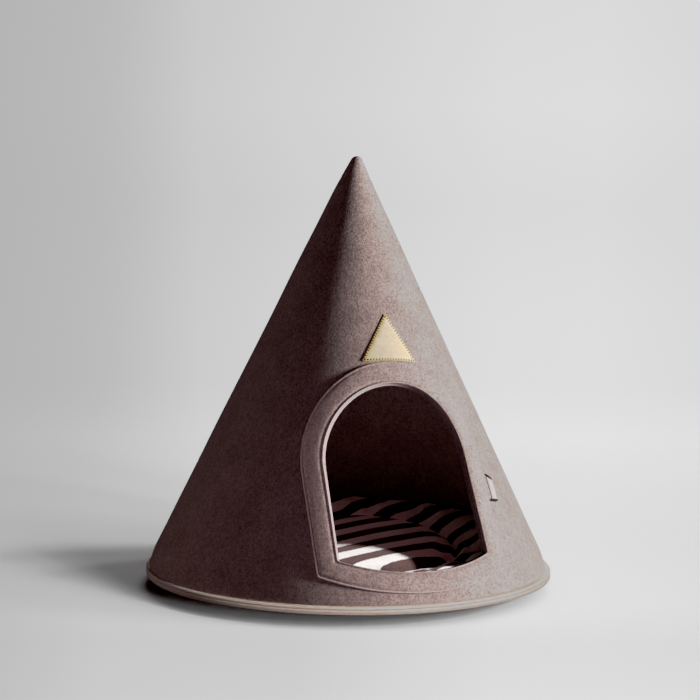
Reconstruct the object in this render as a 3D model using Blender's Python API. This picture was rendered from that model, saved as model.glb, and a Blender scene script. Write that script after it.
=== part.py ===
"""Felt cat cave: a stiff felt cone with an arched doorway, on a round plywood base.

Metres, +Z up. The origin is on the floor under the middle of the base, and the doorway
faces -Y. What is sewn to the cone is laid out on its flat pattern, as it is cut: u runs
across the doorway's centre line and v runs down it from the point where the straight
sides of the cone would meet.
"""
import math

import bmesh
import bpy
from mathutils import Matrix, Vector

MM = 0.001
CLEARANCE = 0.3 * MM

# Plywood base and the feet under it
BASE_RADIUS = 225 * MM
BASE_THICKNESS = 9 * MM
BASE_EDGE_ROUND = 2.5 * MM
FOOT_HEIGHT = 14 * MM
FOOT_RADIUS = 15 * MM
FOOT_RING_RADIUS = 145 * MM
FOOT_EDGE_ROUND = 1.5 * MM
FOOT_COUNT = 4
BASE_TOP = FOOT_HEIGHT + BASE_THICKNESS

# Felt cone: its straight side, carried down to the base and up to a point
CONE_RADIUS = 223.5 * MM
CONE_HEIGHT = 463 * MM
WALL = 4 * MM
APEX_Z = BASE_TOP + CONE_HEIGHT
SLANT = math.hypot(CONE_RADIUS, CONE_HEIGHT)
SIN_HALF = CONE_RADIUS / SLANT
COS_HALF = CONE_HEIGHT / SLANT
TIP_ROUND = 6.5 * MM
INNER_TIP_ROUND = 5 * MM

# The felt turns in a little at its lower edge and at its tip, and leans a little to one side
TUCK_HEIGHT = 20 * MM
TUCK_DEPTH = 3 * MM
TUCK_POWER = 1.4
NIP_HEIGHT = 60 * MM
NIP_DEPTH = 0.8 * MM
LEAN_ANGLE = math.radians(-20)
LEAN_AT_BASE = -1.2 * MM
LEAN_AT_APEX = 2.9 * MM
TIP_LEAN = 2.5 * MM
TIP_LEAN_LENGTH = 60 * MM
LEAN_WAY = Vector((math.cos(LEAN_ANGLE), math.sin(LEAN_ANGLE), 0))

# Doorway on the flat pattern: a half-ellipse over sides that spread to a curved sill. Below
# the arch it leans a little towards +u.
DOOR_TOP_V = 276 * MM
DOOR_ARCH_RISE = 83.5 * MM
DOOR_HALF_WIDTH = 81.2 * MM
DOOR_SPREAD = 0.027
DOOR_LEAN = 0.037
SILL_V = 480.3 * MM
SILL_RADIUS = 185 * MM
DOOR_CORNER = 3 * MM
SPRING_V = DOOR_TOP_V + DOOR_ARCH_RISE

# Felt surround sewn around the doorway
SURROUND_WIDTH = 24.5 * MM
SURROUND_SILL_WIDTH = 23 * MM
SURROUND_THICKNESS = 3 * MM
SURROUND_CORNER = 3 * MM
SURROUND_LEAN = 0.047
SURROUND_SILL_RADIUS = 195 * MM

# Leather triangle over the arch, and the folded tape beside the doorway
PATCH_SIDE = 63 * MM
PATCH_THICKNESS = 1.6 * MM
PATCH_CORNER = 1.5 * MM
PATCH_BASE_V = 250.3 * MM
PATCH_U = 3.7 * MM
PATCH_TILT = math.radians(1.5)
TAG_WIDTH = 10 * MM
TAG_LENGTH = 26 * MM
TAG_THICKNESS = 1 * MM
TAG_U = 122 * MM
TAG_V = 384.9 * MM
TAG_TILT = math.radians(-4.6)

# Cushion: a middle pad and a ring, parted by a round sewn channel. It lies higher on the
# side away from the doorway, where it is pushed up against the wall.
CUSHION_RADIUS = 193 * MM
CUSHION_SHIFT = 9 * MM
CHANNEL_RADIUS = 103.5 * MM
CHANNEL_HEIGHT = 12.8 * MM
CHANNEL_RISE = 14.6 * MM
THINNEST = 8 * MM
THIN_BLEND = 3 * MM
PAD_CROWN = 20.8 * MM
PAD_FULLNESS = 0.42
RING_CROWN = 13.5 * MM
RING_FULLNESS = 0.49
HIGH_SIDE_ANGLE = math.radians(70)
RING_WAVES = ((3, 0.7 * MM, 0.4), (7, 0.5 * MM, 2.1), (13, 0.4 * MM, 4.0))

CONE_SEGMENTS = 96
BASE_SEGMENTS = 96
CUSHION_SEGMENTS = 72

COLOURS = {
    "felt": (0.22, 0.17, 0.16, 0.95),
    "leather": (0.80, 0.66, 0.43, 0.6),
    "tape": (0.62, 0.58, 0.55, 0.85),
    "plywood": (0.62, 0.51, 0.42, 0.55),
    "rubber": (0.03, 0.03, 0.03, 0.8),
    "cushion_cloth": (0.45, 0.42, 0.41, 0.9),
}


def clear_scene():
    for item in list(bpy.data.objects):
        bpy.data.objects.remove(item, do_unlink=True)


def make_material(name):
    red, green, blue, roughness = COLOURS[name]
    material = bpy.data.materials.new(name)
    material.use_nodes = True
    shader = material.node_tree.nodes["Principled BSDF"]
    shader.inputs["Base Color"].default_value = (red, green, blue, 1)
    shader.inputs["Roughness"].default_value = roughness
    shader.inputs["Metallic"].default_value = 0
    return material


def make_object(name, mesh, material, sharp_angle=35):
    obj = bpy.data.objects.new(name, mesh)
    bpy.context.scene.collection.objects.link(obj)
    mesh.materials.append(material)
    mesh.shade_smooth()
    mesh.set_sharp_from_angle(angle=math.radians(sharp_angle))
    return obj


def mesh_from(name, bm):
    bmesh.ops.recalc_face_normals(bm, faces=bm.faces)
    mesh = bpy.data.meshes.new(name)
    bm.to_mesh(mesh)
    bm.free()
    return mesh


def bridge(bm, lower, upper):
    """Join two closed rings of the same number of vertices."""
    count = len(lower)
    for i in range(count):
        j = (i + 1) % count
        bm.faces.new((lower[i], lower[j], upper[j], upper[i]))


def close_with_fan(bm, ring, tip):
    count = len(ring)
    for i in range(count):
        bm.faces.new((ring[i], ring[(i + 1) % count], tip))


# The cone as a surface that everything sewn to it follows

def drawn_in_at(z):
    """How far the felt's face lies inside the straight cone at height z."""
    above_base = z - BASE_TOP
    if above_base < TUCK_HEIGHT:
        return TUCK_DEPTH * (1 - max(above_base, 0) / TUCK_HEIGHT) ** TUCK_POWER
    above_nip = z - (APEX_Z - NIP_HEIGHT)
    return NIP_DEPTH * (max(above_nip, 0) / NIP_HEIGHT) ** 2


def lean_at(z):
    """Sideways shift of the cone's centre at height z."""
    share = (z - BASE_TOP) / CONE_HEIGHT
    shift = LEAN_AT_BASE + (LEAN_AT_APEX - LEAN_AT_BASE) * share
    tip_start = APEX_Z - TIP_LEAN_LENGTH
    if z > tip_start:
        shift += TIP_LEAN * ((z - tip_start) / TIP_LEAN_LENGTH) ** 2
    return LEAN_WAY * shift


def on_cone(u, v, offset):
    """Point of the flat pattern once the felt is rolled up, offset outwards from its face."""
    azimuth = math.atan2(u, v) / SIN_HALF
    slant = math.hypot(u, v)
    z = APEX_Z - slant * COS_HALF
    radius = slant * SIN_HALF - drawn_in_at(z)
    outwards = Vector((math.sin(azimuth), -math.cos(azimuth), 0))
    normal = outwards * COS_HALF + Vector((0, 0, SIN_HALF))
    return lean_at(z) + outwards * radius + Vector((0, 0, z)) + normal * offset


def arc(centre, radius, start, end, steps):
    """Points of an arc. Angles run from straight up towards +u."""
    points = []
    for i in range(steps + 1):
        angle = start + (end - start) * i / steps
        points.append((centre[0] + radius * math.sin(angle), centre[1] - radius * math.cos(angle)))
    return points


def door_outline(grow, sill_grow, corner, lean=DOOR_LEAN, sill_curve=SILL_RADIUS,
                 arch_steps=20, side_steps=6, corner_steps=3, sill_steps=10):
    """Closed outline around the doorway, from its top and down the +u side first."""
    half_width = DOOR_HALF_WIDTH + grow
    rise = DOOR_ARCH_RISE + grow
    sill_radius = sill_curve + sill_grow
    sill_centre_v = SILL_V - sill_curve
    slope = math.hypot(1, DOOR_SPREAD)

    # Centre of the corner's round, a corner radius inside both the side and the sill
    reach = sill_radius - corner
    at_spring = half_width - corner * slope
    fall = SPRING_V - sill_centre_v
    a = 1 + DOOR_SPREAD ** 2
    b = at_spring * DOOR_SPREAD + fall
    c = at_spring ** 2 + fall ** 2 - reach ** 2
    drop = (-b + math.sqrt(b * b - a * c)) / a
    centre = (at_spring + DOOR_SPREAD * drop, SPRING_V + drop)
    side_angle = math.pi / 2 - math.atan(DOOR_SPREAD)
    sill_angle = math.pi - math.atan2(centre[0], centre[1] - sill_centre_v)

    half = []
    for i in range(arch_steps):
        angle = math.pi / 2 * i / arch_steps
        half.append((half_width * math.sin(angle), SPRING_V - rise * math.cos(angle)))
    round_points = arc(centre, corner, side_angle, sill_angle, corner_steps)
    side_end = round_points[0]
    for i in range(side_steps):
        share = i / side_steps
        u = half_width + (side_end[0] - half_width) * share
        half.append((u, SPRING_V + (side_end[1] - SPRING_V) * share))
    half += round_points
    half += arc((0, sill_centre_v), sill_radius, sill_angle, math.pi, sill_steps)[1:]
    other = [(-u, v) for u, v in reversed(half[1:-1])]
    return [(u + lean * max(v - SPRING_V, 0), v) for u, v in half + other]


def sheet_on_cone(name, rows, thickness, closed, material):
    """Solid sheet on the cone's outside from rows of (u, v); closed joins last row to first."""
    bm = bmesh.new()
    faces = []
    for offset in (CLEARANCE, CLEARANCE + thickness):
        faces.append([[bm.verts.new(on_cone(u, v, offset)) for u, v in row] for row in rows])
    under, over = faces
    count = len(rows)
    width = len(rows[0])
    for i in range(count if closed else count - 1):
        k = (i + 1) % count
        for j in range(width - 1):
            bm.faces.new((over[i][j], over[i][j + 1], over[k][j + 1], over[k][j]))
            bm.faces.new((under[i][j], under[k][j], under[k][j + 1], under[i][j + 1]))
        for j in (0, width - 1):
            bm.faces.new((under[i][j], under[k][j], over[k][j], over[i][j]))
    if not closed:
        for i in (0, count - 1):
            for j in range(width - 1):
                bm.faces.new((under[i][j], under[i][j + 1], over[i][j + 1], over[i][j]))
    return make_object(name, mesh_from(name, bm), material)


# Sub-parts

def cone_profile(inset, tip_round, tuck_rows, lean_rows, cap_rows):
    """(radius, z) rows of the cone's face that lies inset inside its outer one, bottom to top."""
    bottom = BASE_TOP + CLEARANCE
    apex = APEX_Z - inset / SIN_HALF

    def radius_at(z):
        return (apex - z) * SIN_HALF / COS_HALF - drawn_in_at(z)

    tip_centre = apex - (tip_round + NIP_DEPTH * COS_HALF) / SIN_HALF
    tip_start = tip_centre + tip_round * SIN_HALF
    rows = []
    for i in range(tuck_rows):
        z = bottom + (BASE_TOP + TUCK_HEIGHT - bottom) * i / (tuck_rows - 1)
        rows.append((radius_at(z), z))
    lean_start = APEX_Z - TIP_LEAN_LENGTH
    for i in range(lean_rows):
        z = lean_start + (tip_start - lean_start) * i / (lean_rows - 1)
        rows.append((radius_at(z), z))
    first = math.asin(SIN_HALF)
    for i in range(1, cap_rows + 1):
        angle = first + (math.pi / 2 - first) * i / (cap_rows + 1)
        rows.append((tip_round * math.cos(angle), tip_centre + tip_round * math.sin(angle)))
    return rows, tip_centre + tip_round


def add_cone_face(bm, rows, tip_z):
    """Rings of vertices of one face of the cone, closed at its tip. Returns the lowest ring."""
    rings = []
    for radius, z in rows:
        centre = lean_at(z) + Vector((0, 0, z))
        ring = []
        for i in range(CONE_SEGMENTS):
            angle = 2 * math.pi * i / CONE_SEGMENTS
            ring.append(bm.verts.new(centre + Vector((math.cos(angle), math.sin(angle), 0)) * radius))
        rings.append(ring)
    for lower, upper in zip(rings, rings[1:]):
        bridge(bm, lower, upper)
    tip = bm.verts.new(lean_at(tip_z) + Vector((0, 0, tip_z)))
    close_with_fan(bm, rings[-1], tip)
    return rings[0]


def make_door_cutter():
    """Block with the doorway's outline, its sides square to the felt."""
    inwards = -25 * MM
    outwards = 60 * MM
    outline = door_outline(0, 0, DOOR_CORNER)
    middle_v = (DOOR_TOP_V + SILL_V) / 2
    bm = bmesh.new()
    rings = []
    for offset in (inwards, outwards):
        ring = [bm.verts.new(on_cone(u, v, offset)) for u, v in outline]
        close_with_fan(bm, ring, bm.verts.new(on_cone(0, middle_v, offset)))
        rings.append(ring)
    bridge(bm, rings[0], rings[1])
    cutter = bpy.data.objects.new("door_cutter", mesh_from("door_cutter", bm))
    bpy.context.scene.collection.objects.link(cutter)
    cutter.hide_render = True
    cutter.display_type = "WIRE"
    return cutter


def make_cone_shell(material):
    bm = bmesh.new()
    outer_rows, outer_tip = cone_profile(0, TIP_ROUND, tuck_rows=5, lean_rows=6, cap_rows=3)
    inner_rows, inner_tip = cone_profile(WALL, INNER_TIP_ROUND, tuck_rows=4, lean_rows=3, cap_rows=2)
    outer_ring = add_cone_face(bm, outer_rows, outer_tip)
    inner_ring = add_cone_face(bm, inner_rows, inner_tip)
    bridge(bm, inner_ring, outer_ring)
    shell = make_object("cone_shell", mesh_from("cone_shell", bm), material)
    cut = shell.modifiers.new("doorway", "BOOLEAN")
    cut.operation = "DIFFERENCE"
    cut.solver = "EXACT"
    cut.object = make_door_cutter()
    return shell


def make_door_surround(material):
    """Felt ring around the doorway, its rows running from the inner edge to the outer one."""
    across = 4
    inner = door_outline(0, 0, DOOR_CORNER)
    outer = door_outline(SURROUND_WIDTH, SURROUND_SILL_WIDTH, SURROUND_CORNER, SURROUND_LEAN,
                         SURROUND_SILL_RADIUS)
    rows = []
    for (u0, v0), (u1, v1) in zip(inner, outer):
        rows.append([(u0 + (u1 - u0) * j / across, v0 + (v1 - v0) * j / across)
                     for j in range(across + 1)])
    return sheet_on_cone("door_surround", rows, SURROUND_THICKNESS, True, material)


def tilted(u, v, centre, tilt):
    du = u - centre[0]
    dv = v - centre[1]
    turned_u = du * math.cos(tilt) - dv * math.sin(tilt)
    turned_v = du * math.sin(tilt) + dv * math.cos(tilt)
    return centre[0] + turned_u, centre[1] + turned_v


def patch_half_widths():
    """(distance below the sharp apex, half width) of the round-cornered triangle."""
    side_angle = math.radians(30)
    height = PATCH_SIDE * math.cos(side_angle)
    top_centre = PATCH_CORNER / math.sin(side_angle)
    base_centre = height - PATCH_CORNER
    base_centre_u = PATCH_SIDE / 2 - PATCH_CORNER / math.tan(side_angle)
    rows = []
    for degrees in (18, 40):
        angle = math.radians(degrees)
        rows.append((top_centre - PATCH_CORNER * math.cos(angle), PATCH_CORNER * math.sin(angle)))
    first = top_centre - PATCH_CORNER * math.sin(side_angle)
    last = base_centre - PATCH_CORNER * math.sin(side_angle)
    straight_rows = 7
    for i in range(straight_rows + 1):
        depth = first + (last - first) * i / straight_rows
        rows.append((depth, depth * math.tan(side_angle)))
    for degrees in (0, 35, 72):
        angle = math.radians(degrees)
        rows.append((base_centre + PATCH_CORNER * math.sin(angle),
                     base_centre_u + PATCH_CORNER * math.cos(angle)))
    return rows, height


def make_leather_patch(material):
    columns = 12
    half_widths, height = patch_half_widths()
    pivot = (PATCH_U, PATCH_BASE_V)
    rows = []
    for depth, half_width in half_widths:
        v = PATCH_BASE_V - height + depth
        rows.append([tilted(PATCH_U + half_width * (2 * j / columns - 1), v, pivot, PATCH_TILT)
                     for j in range(columns + 1)])
    return sheet_on_cone("leather_patch", rows, PATCH_THICKNESS, False, material)


def make_side_tag(material):
    columns = 3
    lengths = 3
    rows = []
    for i in range(lengths + 1):
        v = TAG_V + TAG_LENGTH * (i / lengths - 0.5)
        rows.append([tilted(TAG_U + TAG_WIDTH * (j / columns - 0.5), v, (TAG_U, TAG_V), TAG_TILT)
                     for j in range(columns + 1)])
    return sheet_on_cone("side_tag", rows, TAG_THICKNESS, False, material)


def make_round_plate(name, radius, thickness, edge_round, segments, material):
    """Upright cylinder about its own origin, with both edges rounded."""
    bm = bmesh.new()
    bmesh.ops.create_cone(bm, cap_ends=True, segments=segments, radius1=radius, radius2=radius,
                          depth=thickness, matrix=Matrix.Translation((0, 0, thickness / 2)))
    obj = make_object(name, mesh_from(name, bm), material)
    bevel = obj.modifiers.new("rounded_edges", "BEVEL")
    bevel.width = edge_round
    bevel.segments = 3
    bevel.limit_method = "ANGLE"
    bevel.angle_limit = math.radians(60)
    return obj


def make_base_disc(material):
    disc = make_round_plate("base_disc", BASE_RADIUS, BASE_THICKNESS, BASE_EDGE_ROUND,
                            BASE_SEGMENTS, material)
    disc.location = (0, 0, FOOT_HEIGHT)
    return disc


def make_feet(material, base):
    for i in range(FOOT_COUNT):
        angle = 2 * math.pi * (i + 0.5) / FOOT_COUNT
        foot = make_round_plate(f"foot_{i + 1}", FOOT_RADIUS, FOOT_HEIGHT - CLEARANCE,
                                FOOT_EDGE_ROUND, 24, material)
        foot.parent = base
        foot.location = (FOOT_RING_RADIUS * math.cos(angle), FOOT_RING_RADIUS * math.sin(angle),
                         -FOOT_HEIGHT)


def soft_floor(height):
    """Height that never falls under THINNEST, and turns into it smoothly."""
    return THINNEST + THIN_BLEND * math.log(1 + math.exp((height - THINNEST) / THIN_BLEND))


def cushion_top(distance, angle):
    """Height of the cushion over the base, at a distance and an angle about its middle."""
    towards_high_side = distance * math.cos(angle - HIGH_SIDE_ANGLE)
    level = soft_floor(CHANNEL_HEIGHT + CHANNEL_RISE * towards_high_side / CHANNEL_RADIUS)
    if distance <= CHANNEL_RADIUS:
        share = distance / CHANNEL_RADIUS
        return level + PAD_CROWN * (1 - share ** 2) ** PAD_FULLNESS
    middle = (CHANNEL_RADIUS + CUSHION_RADIUS) / 2
    share = (distance - middle) / (CUSHION_RADIUS - middle)
    wave = sum(size * math.sin(count * angle + start) for count, size, start in RING_WAVES)
    return level + (RING_CROWN + wave) * max(1 - share ** 2, 0) ** RING_FULLNESS


def make_cushion(material):
    middle = LEAN_WAY * CUSHION_SHIFT
    floor = BASE_TOP + CLEARANCE
    ring_width = CUSHION_RADIUS - CHANNEL_RADIUS
    pad_shares = (0.2, 0.45, 0.65, 0.8, 0.9, 0.96, 1.0)
    ring_shares = (0.04, 0.12, 0.26, 0.45, 0.64, 0.8, 0.91, 0.97)
    distances = [CHANNEL_RADIUS * share for share in pad_shares]
    distances += [CHANNEL_RADIUS + ring_width * share for share in ring_shares]
    side_rows = ((1.0, 0.62), (0.992, 0.3), (0.97, 0.08))
    under_rows = (0.94, 0.5)

    bm = bmesh.new()

    def ring(distance, height_at):
        verts = []
        for i in range(CUSHION_SEGMENTS):
            angle = 2 * math.pi * i / CUSHION_SEGMENTS
            verts.append(bm.verts.new(middle + Vector((distance * math.cos(angle),
                                                       distance * math.sin(angle),
                                                       floor + height_at(angle)))))
        return verts

    rings = [ring(distance, lambda angle, d=distance: cushion_top(d, angle)) for distance in distances]
    for share, height_share in side_rows:
        rings.append(ring(CUSHION_RADIUS * share,
                          lambda angle, s=height_share: s * cushion_top(CUSHION_RADIUS, angle)))
    rings += [ring(CUSHION_RADIUS * share, lambda angle: 0) for share in under_rows]
    for first, second in zip(rings, rings[1:]):
        bridge(bm, first, second)
    top = bm.verts.new(middle + Vector((0, 0, floor + cushion_top(0, 0))))
    close_with_fan(bm, rings[0], top)
    close_with_fan(bm, rings[-1], bm.verts.new(middle + Vector((0, 0, floor))))
    return make_object("cushion", mesh_from("cushion", bm), material, sharp_angle=80)


def main():
    clear_scene()
    materials = {name: make_material(name) for name in COLOURS}
    base = make_base_disc(materials["plywood"])
    make_feet(materials["rubber"], base)
    make_cone_shell(materials["felt"])
    make_door_surround(materials["felt"])
    make_leather_patch(materials["leather"])
    make_side_tag(materials["tape"])
    make_cushion(materials["cushion_cloth"])


main()
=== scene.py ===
"""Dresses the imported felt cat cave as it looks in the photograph. Metres, +Z up.

The doorway faces -Y. What is sewn to the cone is laid out on its flat pattern: u runs across
the doorway's centre line and v runs down it from the point where the cone's sides would meet.
"""
import math

import bmesh
import bpy
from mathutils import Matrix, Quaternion, Vector, geometry, noise


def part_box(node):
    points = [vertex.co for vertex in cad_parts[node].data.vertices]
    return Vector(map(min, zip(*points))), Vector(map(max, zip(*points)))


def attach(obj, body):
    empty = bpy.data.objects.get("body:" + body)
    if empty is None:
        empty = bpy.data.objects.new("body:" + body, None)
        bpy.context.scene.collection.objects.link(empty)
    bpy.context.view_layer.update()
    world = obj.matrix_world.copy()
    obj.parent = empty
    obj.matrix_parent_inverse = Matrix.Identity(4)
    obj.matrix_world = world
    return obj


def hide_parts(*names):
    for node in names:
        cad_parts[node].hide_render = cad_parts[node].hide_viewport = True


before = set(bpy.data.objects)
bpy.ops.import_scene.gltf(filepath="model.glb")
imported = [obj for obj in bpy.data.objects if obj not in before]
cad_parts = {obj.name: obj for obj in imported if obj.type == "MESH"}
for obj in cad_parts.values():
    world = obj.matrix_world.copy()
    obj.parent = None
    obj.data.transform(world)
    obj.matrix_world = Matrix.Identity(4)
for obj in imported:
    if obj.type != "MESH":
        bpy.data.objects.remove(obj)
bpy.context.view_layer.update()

MM = 0.001

# ---- Sizes, the same as the solids have ----

CLEARANCE = 0.3 * MM
BASE_RADIUS = 225 * MM
BASE_THICKNESS = 9 * MM
FOOT_HEIGHT = 14 * MM
BASE_TOP = FOOT_HEIGHT + BASE_THICKNESS

CONE_RADIUS = 223.5 * MM
CONE_HEIGHT = 463 * MM
WALL = 4 * MM
APEX_Z = BASE_TOP + CONE_HEIGHT
SLANT = math.hypot(CONE_RADIUS, CONE_HEIGHT)
SIN_HALF = CONE_RADIUS / SLANT
COS_HALF = CONE_HEIGHT / SLANT
HALF_ANGLE = math.asin(SIN_HALF)
TIP_ROUND = 6.5 * MM

TUCK_HEIGHT = 20 * MM
TUCK_DEPTH = 3 * MM
TUCK_POWER = 1.4
NIP_HEIGHT = 60 * MM
NIP_DEPTH = 0.8 * MM
LEAN_ANGLE = math.radians(-20)
LEAN_AT_BASE = -1.2 * MM
LEAN_AT_APEX = 2.9 * MM
TIP_LEAN = 2.5 * MM
TIP_LEAN_LENGTH = 60 * MM
LEAN_WAY = Vector((math.cos(LEAN_ANGLE), math.sin(LEAN_ANGLE), 0))

DOOR_TOP_V = 276 * MM
DOOR_ARCH_RISE = 83.5 * MM
DOOR_HALF_WIDTH = 81.2 * MM
DOOR_SPREAD = 0.027
DOOR_LEAN = 0.037
SILL_V = 480.3 * MM
SILL_RADIUS = 185 * MM
DOOR_CORNER = 3 * MM
SPRING_V = DOOR_TOP_V + DOOR_ARCH_RISE

SURROUND_WIDTH = 24.5 * MM
SURROUND_SILL_WIDTH = 23 * MM
SURROUND_CORNER = 3 * MM
SURROUND_LEAN = 0.047
SURROUND_SILL_RADIUS = 195 * MM

PATCH_SIDE = 63 * MM
PATCH_HEIGHT = PATCH_SIDE * math.sin(math.radians(60))
PATCH_CORNER = 1.5 * MM
PATCH_BASE_V = 250.3 * MM
PATCH_U = 3.7 * MM
PATCH_TILT = math.radians(1.5)
PATCH_PIVOT = (PATCH_U, PATCH_BASE_V)
PATCH_MIDDLE = (PATCH_U, PATCH_BASE_V - PATCH_HEIGHT / 3)
TAG_WIDTH = 10 * MM
TAG_LENGTH = 26 * MM
TAG_THICKNESS = 1 * MM
TAG_MIDDLE = (122 * MM, 384.9 * MM)
TAG_TILT = math.radians(-4.6)

CUSHION_RADIUS = 193 * MM
CUSHION_SHIFT = 9 * MM
CHANNEL_RADIUS = 111 * MM
CHANNEL_HEIGHT = 12.6 * MM
CHANNEL_RISE = 14.6 * MM
THINNEST = 8 * MM
THIN_BLEND = 3 * MM
PAD_CROWN = 15.2 * MM
PAD_FULLNESS = 0.42
RING_CROWN = 10.2 * MM
RING_FULLNESS = 0.49
HIGH_SIDE_ANGLE = math.radians(70)
# (how many round the ring, height, start)
RING_WAVES = ((3, 0.7 * MM, 0.4), (7, 0.5 * MM, 2.1), (13, 0.4 * MM, 4.0))
CUSHION_MIDDLE = LEAN_WAY * CUSHION_SHIFT
CUSHION_FLOOR = BASE_TOP + CLEARANCE

STRIPE_PITCH = 35.1 * MM
STRIPE_ANGLE = math.radians(18.1)
STRIPE_START = 2.3445

# ---- Camera, placed as the photograph was taken ----

VIEW_AZIMUTH = math.radians(-20.1)
VIEW_PITCH = math.radians(5.28)
VIEW_ROLL = math.radians(0.64)
VIEW_DISTANCE = 2.2147
VIEW_TARGET = Vector((-0.0006, 0.0002, 0.2623))
VIEW_LENS = 102.83
SENSOR = 36
VIEW_WIDTH = 0.35
VIEW_RIGHT = Vector((math.cos(VIEW_AZIMUTH), math.sin(VIEW_AZIMUTH), 0))
VIEW_AWAY = Vector((-math.sin(VIEW_AZIMUTH), math.cos(VIEW_AZIMUTH), 0))


def put_in_scene(name, data):
    made = bpy.data.objects.new(name, data)
    bpy.context.scene.collection.objects.link(made)
    return made


def aim(obj, direction, axis, roll=0.0):
    """Turns an object so that its axis points in the direction."""
    obj.rotation_mode = "QUATERNION"
    obj.rotation_quaternion = direction.to_track_quat(axis, "Y") @ Quaternion((0, 0, 1), roll)


def make_camera():
    back = -VIEW_AWAY * math.cos(VIEW_PITCH) + Vector((0, 0, math.sin(VIEW_PITCH)))
    data = bpy.data.cameras.new("camera")
    data.lens = VIEW_LENS
    data.sensor_width = SENSOR
    camera = put_in_scene("camera", data)
    camera.location = VIEW_TARGET + back * VIEW_DISTANCE
    aim(camera, -back, "-Z", VIEW_ROLL)
    bpy.context.scene.camera = camera


# ---- Helpers for meshes and pieces ----

def finish_mesh(name, bm, material, sharp_angle=180):
    bmesh.ops.recalc_face_normals(bm, faces=bm.faces)
    mesh = bpy.data.meshes.new(name)
    bm.to_mesh(mesh)
    bm.free()
    mesh.materials.append(material)
    mesh.shade_smooth()
    mesh.set_sharp_from_angle(angle=math.radians(sharp_angle))
    return put_in_scene(name, mesh)


def skin(bm, rings):
    """Faces from each closed ring of points to the next. A ring can be a single point."""
    for first, second in zip(rings, rings[1:]):
        count = max(len(first), len(second))
        for i in range(count):
            j = (i + 1) % count
            corners = (first[i % len(first)], first[j % len(first)],
                       second[j % len(second)], second[i % len(second)])
            bm.faces.new(list(dict.fromkeys(corners)))


def circle(bm, centre, radius, height_at, segments):
    """Ring of points about a centre, each at the height for its angle. A radius of 0 is one point."""
    angles = [2 * math.pi * i / segments for i in range(segments if radius else 1)]
    return [bm.verts.new(centre + Vector((radius * math.cos(angle), radius * math.sin(angle),
                                          height_at(angle))))
            for angle in angles]


def lathe(name, profile, segments, material, centre=Vector(), sharp_angle=40):
    """Turned piece from (radius, z) points."""
    bm = bmesh.new()
    skin(bm, [circle(bm, centre, radius, lambda angle: z, segments) for radius, z in profile])
    return finish_mesh(name, bm, material, sharp_angle)


def smooth_step(low, high, x):
    share = min(max((x - low) / (high - low), 0), 1)
    return share * share * (3 - 2 * share)


def part_way(first, second, share):
    return first[0] + (second[0] - first[0]) * share, first[1] + (second[1] - first[1]) * share


def round_pairs(items):
    """Each item with the next one, and the last with the first."""
    return zip(items, items[1:] + items[:1])


def tilted(u, v, centre, tilt):
    du = u - centre[0]
    dv = v - centre[1]
    return (centre[0] + (du * math.cos(tilt) - dv * math.sin(tilt)),
            centre[1] + (du * math.sin(tilt) + dv * math.cos(tilt)))


def arc(centre, radius, start, end, steps):
    """Points on an arc. An angle of 0 is straight up the flat pattern, or down in a profile."""
    angles = [start + (end - start) * i / steps for i in range(steps + 1)]
    return [(centre[0] + radius * math.sin(angle), centre[1] - radius * math.cos(angle))
            for angle in angles]


# ---- Helpers for materials ----

class Value:
    """A node's output in its tree. Sums and products with it make the nodes they need."""

    def __init__(self, tree, socket):
        self.tree = tree
        self.socket = socket

    def __add__(self, other):
        return maths("ADD", self, other)

    def __sub__(self, other):
        return maths("SUBTRACT", self, other)

    def __rsub__(self, other):
        return maths("SUBTRACT", other, self)

    def __mul__(self, other):
        return maths("MULTIPLY", self, other)

    def __truediv__(self, other):
        return maths("DIVIDE", self, other)


def put(kind, output, inputs, tree=None, **settings):
    """An output of a new node, its inputs given as numbers or as other nodes' outputs."""
    tree = tree or next(value.tree for value in inputs.values() if isinstance(value, Value))
    node = tree.nodes.new(kind)
    for key, value in settings.items():
        setattr(node, key, value)
    for key, value in inputs.items():
        if isinstance(value, Value):
            tree.links.new(value.socket, node.inputs[key])
        else:
            node.inputs[key].default_value = value
    return Value(tree, node.outputs[output])


def maths(operation, *values, clamp=False):
    return put("ShaderNodeMath", 0, dict(enumerate(values)), operation=operation, use_clamp=clamp)


def stretch(value, low, high, to_low=0.0, to_high=1.0, way="SMOOTHSTEP"):
    return put("ShaderNodeMapRange", "Result",
               {"Value": value, "From Min": low, "From Max": high, "To Min": to_low, "To Max": to_high},
               interpolation_type=way)


def noise_of(vector, scale, detail=3.0, rough=0.55, distortion=0.0):
    return put("ShaderNodeTexNoise", "Fac", {"Vector": vector, "Scale": scale, "Detail": detail,
                                             "Roughness": rough, "Distortion": distortion})


def turned(vector, rotation, scale):
    return put("ShaderNodeMapping", "Vector", {"Vector": vector, "Rotation": rotation, "Scale": scale})


def blend(share, first, second, way="MIX"):
    """The first colour where share is 0 and the second where it is 1."""
    first, second = ((*colour, 1) if isinstance(colour, tuple) else colour
                     for colour in (first, second))
    return put("ShaderNodeMix", 2, {0: share, 6: first, 7: second}, data_type="RGBA", blend_type=way)


def mottled(value, first, second, low=0.3, high=0.7):
    return blend(stretch(value, low, high), first, second)


def bump_of(height, distance, strength=1.0, under=None):
    inputs = {"Height": height, "Distance": distance, "Strength": strength}
    if under is not None:
        inputs["Normal"] = under
    return put("ShaderNodeBump", "Normal", inputs)


def component(vector, index):
    return put("ShaderNodeSeparateXYZ", index, {"Vector": vector})


def attribute(tree, name):
    return put("ShaderNodeAttribute", "Fac", {}, tree, attribute_name=name)


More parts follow.
